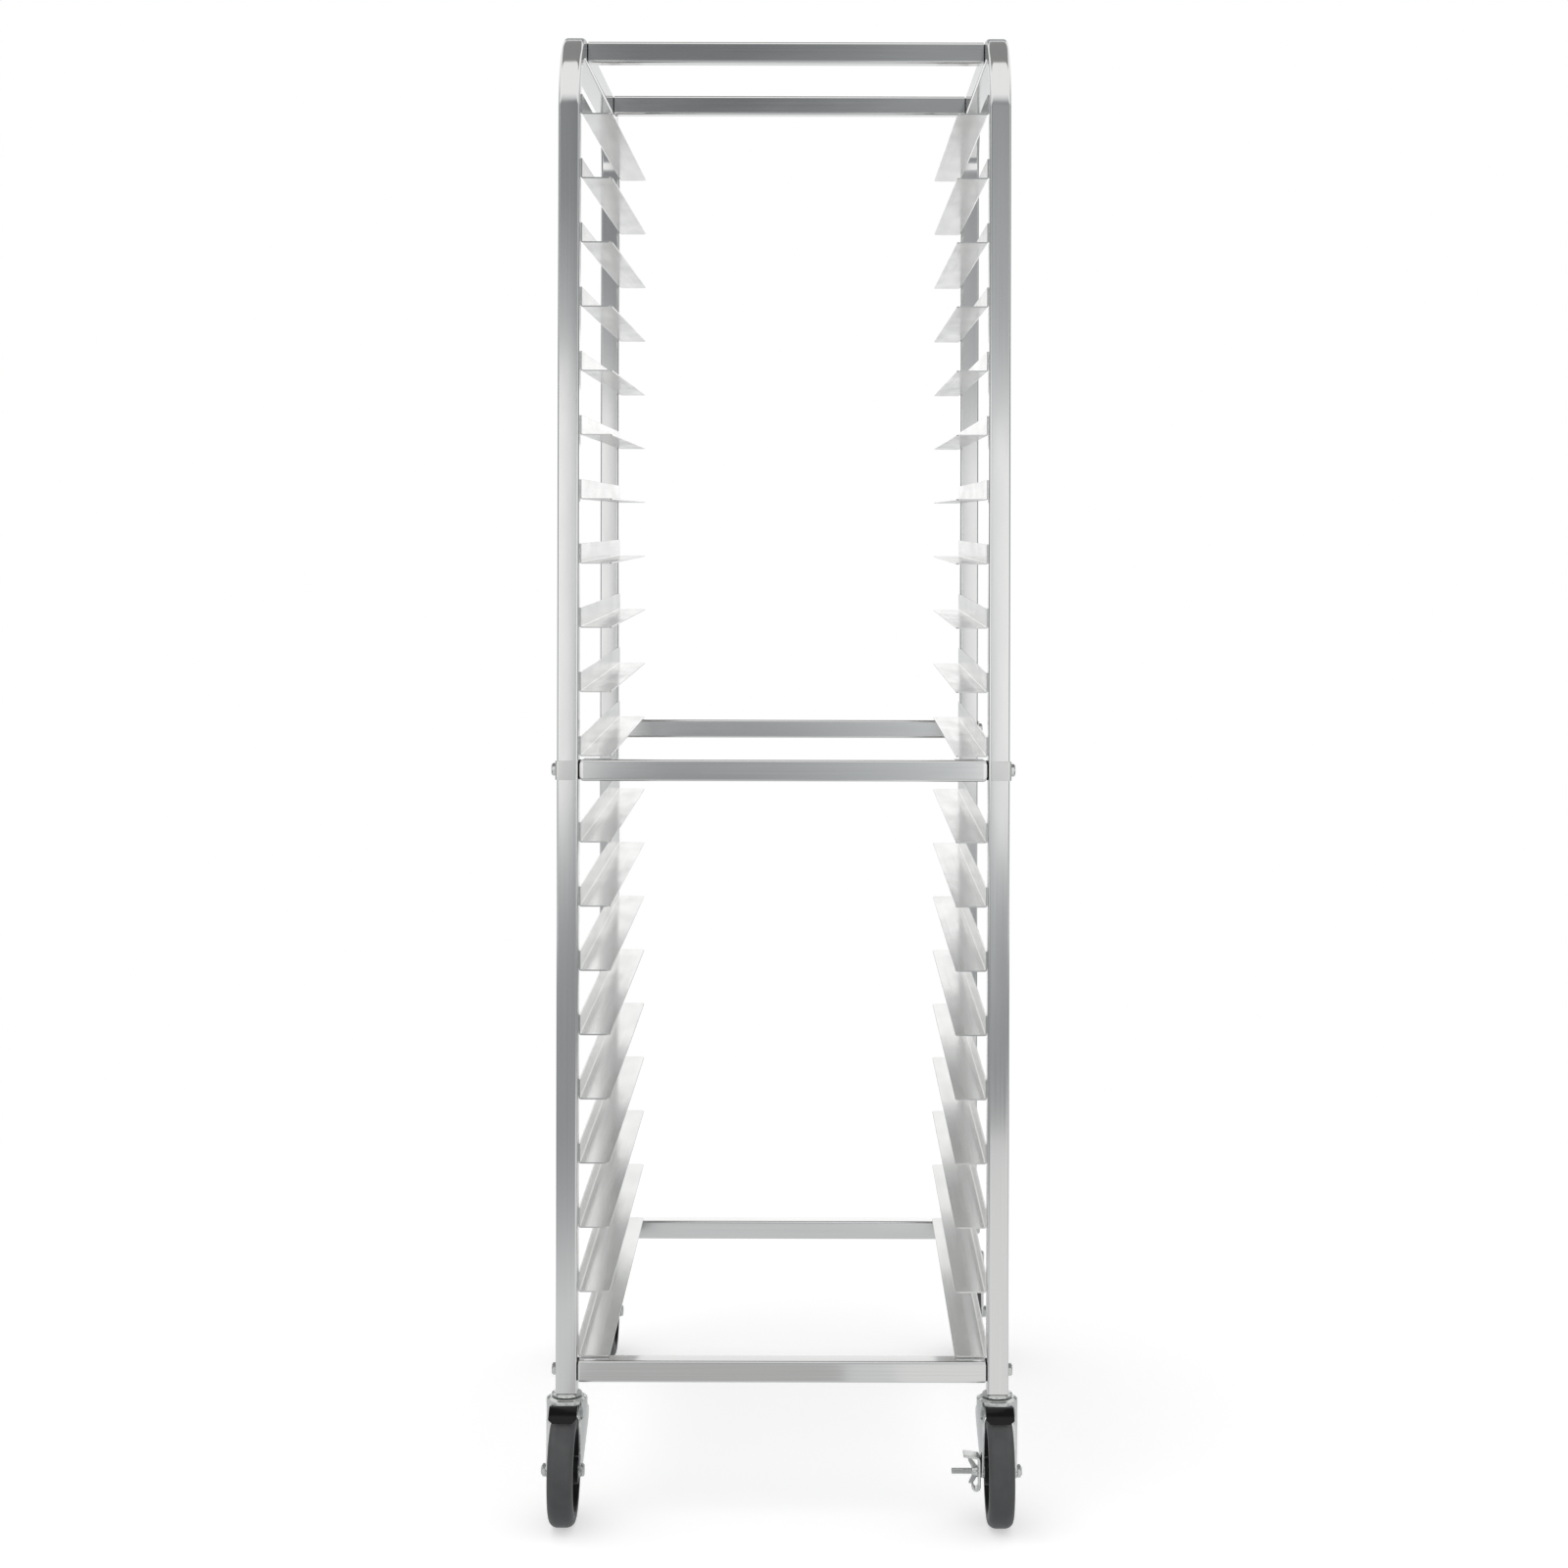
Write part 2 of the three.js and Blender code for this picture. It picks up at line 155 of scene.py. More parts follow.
def skin(bm, rings, closed=False, material=0):
    """Joins a run of equal rings of points into a closed surface. Its UVs are metres along
    the run and metres round the ring, so that a finish can follow a bend."""
    run = bm.loops.layers.uv.verify()
    rows = [[bm.verts.new(point) for point in ring] for ring in rings]
    along, girth = [0.0], [0.0]
    for before, after in zip(rings, rings[1:]):
        along.append(along[-1] + (Vector(after[0]) - Vector(before[0])).length)
    widest = max(rings, key=lambda ring: (Vector(ring[0]) - Vector(ring[len(ring) // 2])).length)
    for before, after in zip(widest, widest[1:] + widest[:1]):
        girth.append(girth[-1] + (Vector(after) - Vector(before)).length)
    pairs = [(k, k + 1) for k in range(len(rows) - 1)]
    if closed:
        pairs.append((len(rows) - 1, 0))
        along.append(along[-1] + (Vector(rings[0][0]) - Vector(rings[-1][0])).length)
    for order, (a, b) in enumerate(pairs):
        count = len(rows[a])
        for i in range(count):
            j = (i + 1) % count
            face = bm.faces.new((rows[a][i], rows[a][j], rows[b][j], rows[b][i]))
            face.material_index = material
            spots = ((order, i), (order, i + 1), (order + 1, i + 1), (order + 1, i))
            for loop, (k, n) in zip(face.loops, spots):
                loop[run].uv = (along[k], girth[n])
    if not closed:
        for row in (rows[0], rows[-1]):
            bm.faces.new(row).material_index = material


def turned(bm, profile, at, axis, steps=40, hexagon=0.0, closed=False, facing=1, material=0):
    """Turns a profile of (radius, height) about an axis through a point. With hexagon, the
    radius is also held inside a hexagon of that width across its flats."""
    rings = []
    for radius, height in profile:
        ring = []
        for i in range(steps):
            angle = 2 * math.pi * i / steps
            r = radius
            if hexagon:
                off_flat = (angle + math.pi / 6) % (math.pi / 3) - math.pi / 6
                r = min(r, hexagon / 2 / math.cos(off_flat))
            a, b = r * math.cos(angle), r * math.sin(angle)
            h = height * facing
            ring.append(at + (Vector((h, a, b)) if axis == "x" else Vector((a, b, h))))
        rings.append(ring)
    skin(bm, rings, closed=closed, material=material)


def hex_head(bm, at, facing, width, tall, dome=0.0):
    """Hex bolt head or nut on the X axis, its corners turned off and with a washer face."""
    wide = width / 2 / math.cos(math.pi / 6)
    profile = [(width * 0.47, 0.0), (width * 0.47, 0.4 * MM), (wide, 0.5 * MM),
               (wide, tall - 1.5 * MM), (width * 0.49, tall - 0.5 * MM), (width * 0.44, tall)]
    if dome:
        profile += [(width * 0.36, tall + dome * 0.2), (width * 0.34, tall + dome * 0.7),
                    (width * 0.27, tall + dome), (width * 0.2, tall + dome)]
    profile.append((0.1 * MM, profile[-1][1]))
    turned(bm, profile, at, "x", steps=48, hexagon=width, facing=facing)


def make_piece(name, bm, materials, body, nodes=(), bevel=0.0, mesh=None, at=(0, 0, 0)):
    """Makes a named piece of a bmesh, or of a mesh shared with like pieces, riding on a body."""
    if mesh is None:
        bmesh.ops.recalc_face_normals(bm, faces=bm.faces)
        mesh = bpy.data.meshes.new(name)
        bm.to_mesh(mesh)
        bm.free()
        for material in materials:
            mesh.materials.append(material)
        mesh.shade_smooth()
        if not bevel:
            mesh.set_sharp_from_angle(angle=math.radians(38))
    piece = bpy.data.objects.new(name, mesh)
    piece.location = at
    bpy.context.scene.collection.objects.link(piece)
    if bevel:
        edges = piece.modifiers.new("Broken_edges", "BEVEL")
        edges.width, edges.segments = bevel, 2
        edges.limit_method, edges.angle_limit = "ANGLE", math.radians(38)
    even = piece.modifiers.new("Even_shading", "WEIGHTED_NORMAL")
    even.keep_sharp = True
    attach(piece, body)
    if nodes:
        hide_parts(*nodes)
    return piece


# ---------------------------------------------------------------- materials

def add_node(tree, kind, inputs=None, **settings):
    """Adds a node with its settings; inputs holds plain values or other nodes' outputs."""
    node = tree.nodes.new(kind)
    for key, value in settings.items():
        setattr(node, key, value)
    for key, value in (inputs or {}).items():
        if isinstance(value, bpy.types.NodeSocket):
            tree.links.new(value, node.inputs[key])
        else:
            node.inputs[key].default_value = value
    return node


def start_material(name):
    """An empty material that is made once, and whether it was made already."""
    found = bpy.data.materials.get(name)
    if found:
        return found, None
    material = bpy.data.materials.new(name)
    material.use_nodes = True
    material.node_tree.nodes.clear()
    return material, material.node_tree


def drawn_aluminium(name, base, rough_low, rough_high, line_gap):
    """Mill-finish aluminium drawn or rolled in one direction: soft grey mirror with fine
    lines along its length, which smear reflections sideways, and hazy patches of handling."""
    material, tree = start_material(name)
    if tree is None:
        return material
    run = add_node(tree, "ShaderNodeUVMap")
    apart = add_node(tree, "ShaderNodeObjectInfo")
    shift = add_node(tree, "ShaderNodeVectorMath",
                     {0: run.outputs["UV"], 1: apart.outputs["Random"]}, operation="ADD")
    # Die lines are about 0.1 mm apart; they are drawn wider so that they show at all
    line_space = add_node(tree, "ShaderNodeMapping",
                          {"Vector": shift.outputs[0], "Scale": (1 / 0.35, 1 / line_gap, 1.0)})
    lines = add_node(tree, "ShaderNodeTexNoise",
                     {"Vector": line_space.outputs[0], "Scale": 1.0, "Detail": 3.0,
                      "Roughness": 0.6}, noise_dimensions="2D")
    haze_space = add_node(tree, "ShaderNodeMapping",
                          {"Vector": shift.outputs[0], "Scale": (1 / 0.12, 1 / 0.03, 1.0)})
    haze = add_node(tree, "ShaderNodeTexNoise",
                    {"Vector": haze_space.outputs[0], "Scale": 1.0, "Detail": 2.0},
                    noise_dimensions="2D")
    both = add_node(tree, "ShaderNodeMath",
                    {0: lines.outputs["Fac"], 1: haze.outputs["Fac"]}, operation="ADD")
    rough = add_node(tree, "ShaderNodeMapRange",
                     {"Value": both.outputs[0], "From Min": 0.6, "From Max": 1.4,
                      "To Min": rough_low, "To Max": rough_high})
    tint = add_node(tree, "ShaderNodeMapRange",
                    {"Value": lines.outputs["Fac"], "From Min": 0.3, "From Max": 0.7,
                     "To Min": 0.965, "To Max": 1.03})
    shade = add_node(tree, "ShaderNodeVectorMath",
                     {0: tuple(base)[:3], 1: tint.outputs[0]}, operation="MULTIPLY")
    bump = add_node(tree, "ShaderNodeBump",
                    {"Height": lines.outputs["Fac"], "Strength": 0.12, "Distance": 0.02 * MM})
    metal = add_node(tree, "ShaderNodeBsdfPrincipled",
                     {"Base Color": shade.outputs[0], "Metallic": 1.0,
                      "Roughness": rough.outputs[0], "Normal": bump.outputs[0]})
    add_node(tree, "ShaderNodeOutputMaterial", {"Surface": metal.outputs[0]})
    return material


def tube_aluminium():
    """Extruded 6063 aluminium tube: die lines and a satin mirror that sharpens bright bands."""
    return drawn_aluminium("Extruded_aluminium_tube", bpy.context.scene.rack_colours.aluminium,
                           0.08, 0.15, 0.9 * MM)


def sheet_aluminium():
    """Rolled and folded aluminium sheet: softer and flatter than the tube, finer lines."""
    return drawn_aluminium("Rolled_aluminium_sheet", bpy.context.scene.rack_colours.sheet,
                           0.15, 0.26, 1.3 * MM)


def zinc_steel():
    """Stamped steel with bright zinc plating: a cool, slightly wavy mirror with milky grains."""
    material, tree = start_material("Bright_zinc_plated_steel")
    if tree is None:
        return material
    place = add_node(tree, "ShaderNodeTexCoord")
    grain = add_node(tree, "ShaderNodeTexVoronoi",
                     {"Vector": place.outputs["Object"], "Scale": 1 / (1.8 * MM)})
    wave = add_node(tree, "ShaderNodeTexNoise",
                    {"Vector": place.outputs["Object"], "Scale": 1 / (7 * MM), "Detail": 2.0})
    rough = add_node(tree, "ShaderNodeMapRange",
                     {"Value": wave.outputs["Fac"], "From Min": 0.3, "From Max": 0.7,
                      "To Min": 0.09, "To Max": 0.19})
    tint = add_node(tree, "ShaderNodeMapRange",
                    {"Value": grain.outputs["Distance"], "To Min": 0.94, "To Max": 1.04})
    shade = add_node(tree, "ShaderNodeVectorMath",
                     {0: tuple(bpy.context.scene.rack_colours.zinc)[:3], 1: tint.outputs[0]},
                     operation="MULTIPLY")
    bump = add_node(tree, "ShaderNodeBump",
                    {"Height": wave.outputs["Fac"], "Strength": 0.25, "Distance": 0.25 * MM})
    metal = add_node(tree, "ShaderNodeBsdfPrincipled",
                     {"Base Color": shade.outputs[0], "Metallic": 1.0,
                      "Roughness": rough.outputs[0], "Normal": bump.outputs[0]})
    add_node(tree, "ShaderNodeOutputMaterial", {"Surface": metal.outputs[0]})
    return material


def tread_rubber():
    """Moulded thermoplastic rubber: matt mid grey, faint rolled-in dust round the tread."""
    material, tree = start_material("Moulded_grey_rubber")
    if tree is None:
        return material
    place = add_node(tree, "ShaderNodeTexCoord")
    # Rubber grain is about 0.3 mm; it is drawn at 1 mm so that it shows
    grain = add_node(tree, "ShaderNodeTexNoise",
                     {"Vector": place.outputs["Object"], "Scale": 1 / (1 * MM), "Detail": 4.0})
    scuff = add_node(tree, "ShaderNodeTexNoise",
                     {"Vector": place.outputs["Object"], "Scale": 1 / (14 * MM), "Detail": 3.0})
    shade = add_node(tree, "ShaderNodeMapRange",
                     {"Value": scuff.outputs["Fac"], "From Min": 0.3, "From Max": 0.7,
                      "To Min": 0.92, "To Max": 1.08})
    tone = add_node(tree, "ShaderNodeVectorMath",
                    {0: tuple(bpy.context.scene.rack_colours.tread)[:3], 1: shade.outputs[0]},
                    operation="MULTIPLY")
    rough = add_node(tree, "ShaderNodeMapRange",
                     {"Value": grain.outputs["Fac"], "From Min": 0.3, "From Max": 0.7,
                      "To Min": 0.42, "To Max": 0.58})
    bump = add_node(tree, "ShaderNodeBump",
                    {"Height": grain.outputs["Fac"], "Strength": 0.25, "Distance": 0.08 * MM})
    body = add_node(tree, "ShaderNodeBsdfPrincipled",
                    {"Base Color": tone.outputs[0], "Roughness": rough.outputs[0], "IOR": 1.5,
                     "Normal": bump.outputs[0]})
    add_node(tree, "ShaderNodeOutputMaterial", {"Surface": body.outputs[0]})
    return material


def moulded_black(name, base, rough_low, rough_high, ripple, gloss):
    """Black moulded plastic: near black, with flow marks that vary its gloss."""
    material, tree = start_material(name)
    if tree is None:
        return material
    place = add_node(tree, "ShaderNodeTexCoord")
    flow = add_node(tree, "ShaderNodeTexNoise",
                    {"Vector": place.outputs["Object"], "Scale": 1 / ripple, "Detail": 3.0})
    rough = add_node(tree, "ShaderNodeMapRange",
                     {"Value": flow.outputs["Fac"], "From Min": 0.3, "From Max": 0.7,
                      "To Min": rough_low, "To Max": rough_high})
    bump = add_node(tree, "ShaderNodeBump",
                    {"Height": flow.outputs["Fac"], "Strength": 0.15, "Distance": 0.1 * MM})
    body = add_node(tree, "ShaderNodeBsdfPrincipled",
                    {"Base Color": tuple(base), "Roughness": rough.outputs[0], "IOR": 1.46,
                     "Specular IOR Level": gloss, "Normal": bump.outputs[0]})
    add_node(tree, "ShaderNodeOutputMaterial", {"Surface": body.outputs[0]})
    return material


def core_plastic():
    """Moulded polypropylene of the wheel's core: black with a dull sheen."""
    return moulded_black("Moulded_black_polypropylene", bpy.context.scene.rack_colours.core,
                         0.38, 0.52, 3 * MM, 0.2)


def guard_plastic():
    """Moulded ABS of the thread guard: glossy black with sharp edge lights."""
    return moulded_black("Moulded_glossy_black_ABS", bpy.context.scene.rack_colours.guard,
                         0.12, 0.2, 6 * MM, 0.28)


# ---------------------------------------------------------------- side frames

class MakeSideFrames(bpy.types.Operator):
    """Bend the two square tubes into the side frames"""

    bl_idname = "rack.make_side_frames"
    bl_label = "Side frames"

    def execute(self, context):
        sizes = context.scene.rack_sizes
        for name, side in SIDES:
            bm = bmesh.new()
            skin(bm, self.rings(sizes, side * POST_X))
            make_piece(f"{name}_frame_tube", bm, [tube_aluminium()], "rack",
                       [f"{name}_side_frame"])
        return {"FINISHED"}

    def rings(self, sizes, x):
        """Rings of the tube from inside one foot, over the bends, to inside the other."""
        half, wall = TUBE / 2, sizes.tube_wall
        middle_bend = sizes.bend_radius - half
        spring = TOP_Z - sizes.bend_radius
        outer = rounded_rectangle(half, half, sizes.tube_corner)
        lip = rounded_rectangle(half - 0.3 * MM, half - 0.3 * MM, sizes.tube_corner - 0.3 * MM)
        bore = rounded_rectangle(half - wall, half - wall, sizes.tube_corner - wall)
        foot, deep = sizes.post_foot, 18 * MM
        stations = [(bore, FRONT_POST_Y, foot + deep, 180), (bore, FRONT_POST_Y, foot, 180),
                    (lip, FRONT_POST_Y, foot, 180), (outer, FRONT_POST_Y, foot + 0.3 * MM, 180)]
        steps = sizes.curve_steps
        for y, start in ((FRONT_POST_Y + middle_bend, 180), (REAR_POST_Y - middle_bend, 90)):
            for i in range(steps + 1):
                turn = start - 90 * i / steps
                # Bending rounds the tube's corners off a little more
                drawn = sizes.tube_corner + 2.5 * MM * math.sin(math.pi * i / steps) ** 0.5
                stations.append((rounded_rectangle(half, half, drawn),
                                 y + middle_bend * math.cos(math.radians(turn)),
                                 spring + middle_bend * math.sin(math.radians(turn)), turn))
        stations += [(outer, REAR_POST_Y, foot + 0.3 * MM, 0), (lip, REAR_POST_Y, foot, 0),
                     (bore, REAR_POST_Y, foot, 0), (bore, REAR_POST_Y, foot + deep, 0)]
        rings = []
        for section, y, z, turn in stations:
            out_y, out_z = math.cos(math.radians(turn)), math.sin(math.radians(turn))
            rings.append([Vector((x + b, y + a * out_y, z + a * out_z)) for a, b in section])
        return rings


class MakeStrapsAndBolts(bpy.types.Operator):
    """Fold the straps round the posts and set the hex bolts that hold the crossbars"""

    bl_idname = "rack.make_straps_and_bolts"
    bl_label = "Straps and bolts"

    def execute(self, context):
        sizes = context.scene.rack_sizes
        for end, facing in ENDS:
            post_y = FRONT_POST_Y if facing < 0 else REAR_POST_Y
            for name, side in SIDES:
                bm = bmesh.new()
                self.strap(bm, sizes, side, facing, post_y)
                make_piece(f"{end}_{name}_post_strap", bm, [sheet_aluminium()], "rack",
                           bevel=0.35 * MM)
                bm = bmesh.new()
                for z, x in ((MID_BAR_Z, OUTER_X + sizes.strap_sheet), (LOW_BAR_Z, OUTER_X)):
                    hex_head(bm, Vector((side * x, post_y, z)), side, sizes.bolt_width,
                             sizes.bolt_tall)
                make_piece(f"{end}_{name}_bar_bolts", bm, [zinc_steel()], "rack")
        return {"FINISHED"}

    def strap(self, bm, sizes, side, facing, post_y):
        """A strip folded round the outer side and the open face of a post."""
        half, sheet = TUBE / 2, sizes.strap_sheet
        reach = 21.9 * MM
        inner = 2 * MM
        outside = arc((-inner, half - inner), inner + sheet, 0, 90, 6)
        inside = arc((-inner, half - inner), inner, 90, 0, 6)
        outline = ([(sheet, -half)] + outside + [(-reach, half + sheet), (-reach, half + 0.03 * MM)]
                   + inside + [(0.03 * MM, -half)])
        low, high = MID_BAR_Z - sizes.strap_height / 2, MID_BAR_Z + sizes.strap_height / 2
        rings = [[Vector((side * (OUTER_X + p), post_y + facing * q, z)) for p, q in outline]
                 for z in (low, high)]
        skin(bm, rings)


# ---------------------------------------------------------------- crossbars

class MakeCrossbars(bpy.types.Operator):
    """Cut the six crossbars and set black pads at their ends, whose black is painted shade in the gaps
    beside the posts
    """

    bl_idname = "rack.make_crossbars"
    bl_label = "Crossbars"

    def execute(self, context):
        sizes = context.scene.rack_sizes
        for height in ("top", "mid", "bottom"):
            for end, _ in ENDS:
                node = f"{height}_{end}_crossbar"
                low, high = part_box(node)
                middle = (low + high) / 2
                gap = 0.7 * MM if height == "top" else sizes.bar_gap
                dressed = 0.0 if height == "top" else sizes.bar_end_radius
                if height == "bottom":
                    dressed *= 0.45
                bm = bmesh.new()
                skin(bm, self.rings(sizes, middle, INNER_X - gap, dressed))
                make_piece(f"{height}_{end}_bar", bm, [tube_aluminium()], "rack",
                           [node])
                # Black pads at the bar's ends: their black is painted shade in the gaps between bar
                # and post
                bm = bmesh.new()
                for side in (-1, 1):
                    self.gap_shade_pad(bm, middle, side, gap)
                make_piece(f"{height}_{end}_bar_plugs", bm, [core_plastic()], "rack")
        return {"FINISHED"}

    def rings(self, sizes, middle, reach, dressed):
        """Rings of a bar from inside one end to inside the other."""
        half, wall = TUBE / 2, sizes.tube_wall
        deep = 5 * MM
        stations = [(reach - deep, half - wall, half - wall, sizes.tube_corner - wall)]
        if dressed:
            trims = [dressed * (1 - math.sin(math.radians(a))) for a in range(0, 91, 15)]
            offs = [dressed * (1 - math.cos(math.radians(a))) for a in range(0, 91, 15)]
            tight = half - wall - dressed * 0.8
            stations.append((reach, tight, half - wall - 1.2 * MM, 1.2 * MM))
            for trim, off in zip(trims, offs):
                stations.append((reach - off, half - trim, half - trim * 0.25, sizes.tube_corner))
            stations[0] = (reach - deep, tight, half - wall - 1.2 * MM, 1.2 * MM)
        else:
            stations += [(reach, half - wall, half - wall, sizes.tube_corner - wall),
                         (reach, half - 0.3 * MM, half - 0.3 * MM, sizes.tube_corner - 0.3 * MM),
                         (reach - 0.3 * MM, half, half, sizes.tube_corner)]
        rings = []
        for sign, run in ((-1, stations), (1, stations[::-1])):
            for x, half_z, half_y, corner in run:
                rings.append([middle + Vector((sign * x, b, a))
                              for a, b in rounded_rectangle(half_z, half_y, corner)])
        return rings

    def gap_shade_pad(self, bm, middle, side, gap):
        """Black pad between bar and post with a spigot in the bar; its black is painted shade in the
        gap.
        """
        rings = []
        for x, size in ((0.15, 10.2), (0.15, 10.8), (0.4, 11.0), (gap / MM + 0.1, 11.0),
                        (gap / MM + 0.1, 8.0), (7.0, 8.0)):
            outline = rounded_rectangle(size * MM, size * MM, 2 * MM, 3)
            rings.append([middle + Vector((side * (INNER_X - x * MM), b, a)) for a, b in outline])
        skin(bm, rings)


# ---------------------------------------------------------------- runners

class MakeRunners(bpy.types.Operator):
    """Fold the forty angle runners and set them at their levels"""

    bl_idname = "rack.make_runners"
    bl_label = "Runners"

    def execute(self, context):
        sizes = context.scene.rack_sizes
        for name, side in SIDES:
            low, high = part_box(f"{name}_runner_01")
            mesh = None
            for level in range(1, LEVELS + 1):
                node = f"{name}_runner_{level:02d}"
                here_low, here_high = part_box(node)
                bm = None
                if mesh is None:
                    bm = bmesh.new()
                    skin(bm, self.rings(sizes, -side, high - low, low.y))
                wall_x = here_high.x if side > 0 else here_low.x
                piece = make_piece(f"{name}_pan_runner_{level:02d}", bm, [sheet_aluminium()],
                                   "rack", [node], mesh=mesh,
                                   at=(wall_x, 0, here_low.z))
                mesh = piece.data
        return {"FINISHED"}

    def rings(self, sizes, inwards, span, front_y):
        """Rings of a folded angle along Y; the ledge's outer edge rounds off at both ends."""
        sheet, bend = sizes.sheet, sizes.runner_bend
        ledge, flange = span.x, span.z
        burr = 0.25 * MM
        outside = arc((bend, bend), bend, 180, 270, 5)
        inside = arc((bend, bend), bend - sheet, 270, 180, 5)
        outline = ([(burr, flange), (0, flange - burr)] + outside
                   + [(ledge - burr, 0), (ledge, burr), (ledge, sheet - burr),
                      (ledge - burr, sheet)]
                   + inside + [(sheet, flange - burr), (sheet - burr, flange)])
        corner = sizes.ledge_corner
        trims = [(corner * (1 - math.cos(math.radians(a))), corner * (1 - math.sin(math.radians(a))))
                 for a in range(0, 91, 15)]
        stations = [(off, cut) for off, cut in trims]
        stations += [(span.y - off, cut) for off, cut in trims[::-1]]
        rings = []
        for off, cut in stations:
            rings.append([Vector((inwards * (w - cut if w > ledge / 2 else w), front_y + off, h))
                          for w, h in outline])
        return rings


# ---------------------------------------------------------------- casters

def corners():
    """Name, side, end and wheel middle of each caster."""
    for end, _ in ENDS:
        for name, side in SIDES:
            low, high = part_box(f"{end}_{name}_caster_wheel")
            yield f"{end}_{name}", side, (low + high) / 2


class MakeSwivelForks(bpy.types.Operator):
    """Stamp the swivel forks with their crowns, races, axles and guards"""

    bl_idname = "rack.make_swivel_forks"
    bl_label = "Swivel forks"

    def execute(self, context):
        sizes = context.scene.rack_sizes
        for name, side, wheel in corners():
            body = f"{name}_swivel"
            swivel = Vector((wheel.x, wheel.y + sizes.trail, 0))
            bm = bmesh.new()
            self.crown(bm, sizes, swivel)
            for hand in (-1, 1):
                self.leg(bm, sizes, swivel, wheel.z, hand)
            make_piece(f"{name}_fork", bm, [zinc_steel()], body,
                       [f"{name}_caster_fork"])
            braked = name == "front_right"
            self.axle(sizes, name, body, side, wheel, braked)
            self.guard(sizes, name, body, swivel)
            self.stem(sizes, name, swivel)
        return {"FINISHED"}

    def crown(self, bm, sizes, swivel):
        """Round pressed crown with a raised ball race and a turned-down rim."""
        rim = sizes.crown_radius / MM
        profile = [(0.1, 138.6), (15.0, 138.6), (17.2, 139.1), (19.4, 139.2), (20.6, 138.6),
                   (21.6, 137.6), (22.8, 137.0), (23.6, 136.2), (rim, 134.9), (rim, 131.6),
                   (rim - 0.5, 131.1), (rim - 2.0, 131.2), (rim - 2.4, 133.6), (0.1, 133.6)]
        turned(bm, [(r * MM, z * MM) for r, z in profile], swivel, "z", steps=64)

    def leg(self, bm, sizes, swivel, axle_z, hand):
        """Fork leg: round with the crown at the top, closing in on the wheel at its front edge
        and tapering to the axle."""
        foot_y, foot_r = -sizes.trail, 8 * MM
        rows = [136.4, 134, 131, 128, 124, 120, 116, 108, 100, 92, 84, 76, 71, 67, 63.5, 61, 59,
                57.2, 56]
        across = 16
        outer, inner = [], []
        for height in rows:
            z = height * MM
            front, rear = self.edges(z, axle_z, foot_y, foot_r)
            top = max(0.0, min(1.0, (z - axle_z) / (110 * MM - axle_z)))
            cup = max(0.0, min(1.0, (z - 118 * MM) / (18 * MM)))
            cup = cup * cup * (3 - 2 * cup)
            near = (20.7 - 1.5 * top) * MM
            wide = (21.2 + 3.3 * top) * MM
            line_out, line_in = [], []
            for i in range(across + 1):
                t = i / across
                y = front + (rear - front) * t
                flat = near + (wide - near) * math.sin(math.pi / 2 * min(1.0, t / 0.75))
                round_x = math.sqrt(max((24.3 * MM) ** 2 - y * y, (11 * MM) ** 2))
                x = flat + (round_x - flat) * cup
                line_out.append(swivel + Vector((hand * x, y, z)))
                line_in.append(swivel + Vector((hand * (x - sizes.fork_sheet), y, z)))
            outer.append(line_out)
            inner.append(line_in)
        skin(bm, [out + back[::-1] for out, back in zip(outer, inner)])

    def edges(self, z, axle_z, foot_y, foot_r):
        """Front and rear edge of a leg at a height, seen from the side."""
        if z <= axle_z:
            half = math.sqrt(max(foot_r ** 2 - (z - axle_z) ** 2, (2.5 * MM) ** 2))
            return foot_y - half, foot_y + half
        shoulder, top = 112 * MM, 136.4 * MM
        if z < shoulder:
            t = (z - axle_z) / (shoulder - axle_z)
            return (foot_y - foot_r + (15 * MM) * t,
                    foot_y + foot_r + (20 * MM - foot_y - foot_r) * t ** 0.8)
        t = (z - shoulder) / (top - shoulder)
        return -31 * MM + 10 * MM * t, 20 * MM

    def axle(self, sizes, name, body, side, wheel, braked):
        """Axle with a hex head on the outer side and a low nut on the inner side."""
        bm = bmesh.new()
        leg_face = 21.2 * MM
        if not braked:
            turned(bm, [(0.1 * MM, -leg_face), (4.6 * MM, -leg_face), (4.6 * MM, leg_face),
                        (0.1 * MM, leg_face)], wheel, "x", steps=32)
            inner = wheel - Vector((side * leg_face, 0, 0))
            hex_head(bm, inner, -side, sizes.axle_nut, 3.0 * MM)
        outer = wheel + Vector((side * leg_face, 0, 0))
        hex_head(bm, outer, side, sizes.axle_nut, 4.2 * MM, dome=1.3 * MM)
        make_piece(f"{name}_axle_nuts", bm, [zinc_steel()], body)

    def guard(self, sizes, name, body, swivel):
        """Thread guard over the wheel: a flat plate that turns down into a sloping, creased
        hood in front."""
        profile = [(2, 133.2), (-38, 133.4), (-40.5, 136.2), (-41.5, 139.6), (-44.2, 139.9),
                   (-49, 138.2), (-55, 134.6), (-59.6, 130.6), (-60.0, 129.8), (-63, 125.9),
                   (-61.6, 125.2), (-59.2, 126.6), (-54, 130.4), (2, 130.4)]
        rings = []
        for x, lift in ((-16.5, 4.5), (-12, 0), (12, 0), (16.5, 4.5)):
            rings.append([swivel + Vector((x * MM, y * MM, (z + (lift if z < 127 else 0)) * MM))
                          for y, z in profile])
        bm = bmesh.new()
        skin(bm, rings)
        hood = make_piece(f"{name}_thread_guard", bm, [guard_plastic()], body,
                          bevel=0.5 * MM)
        # Keeps the black hood from showing as a dark patch in the polished post above it
        hood.visible_glossy = False

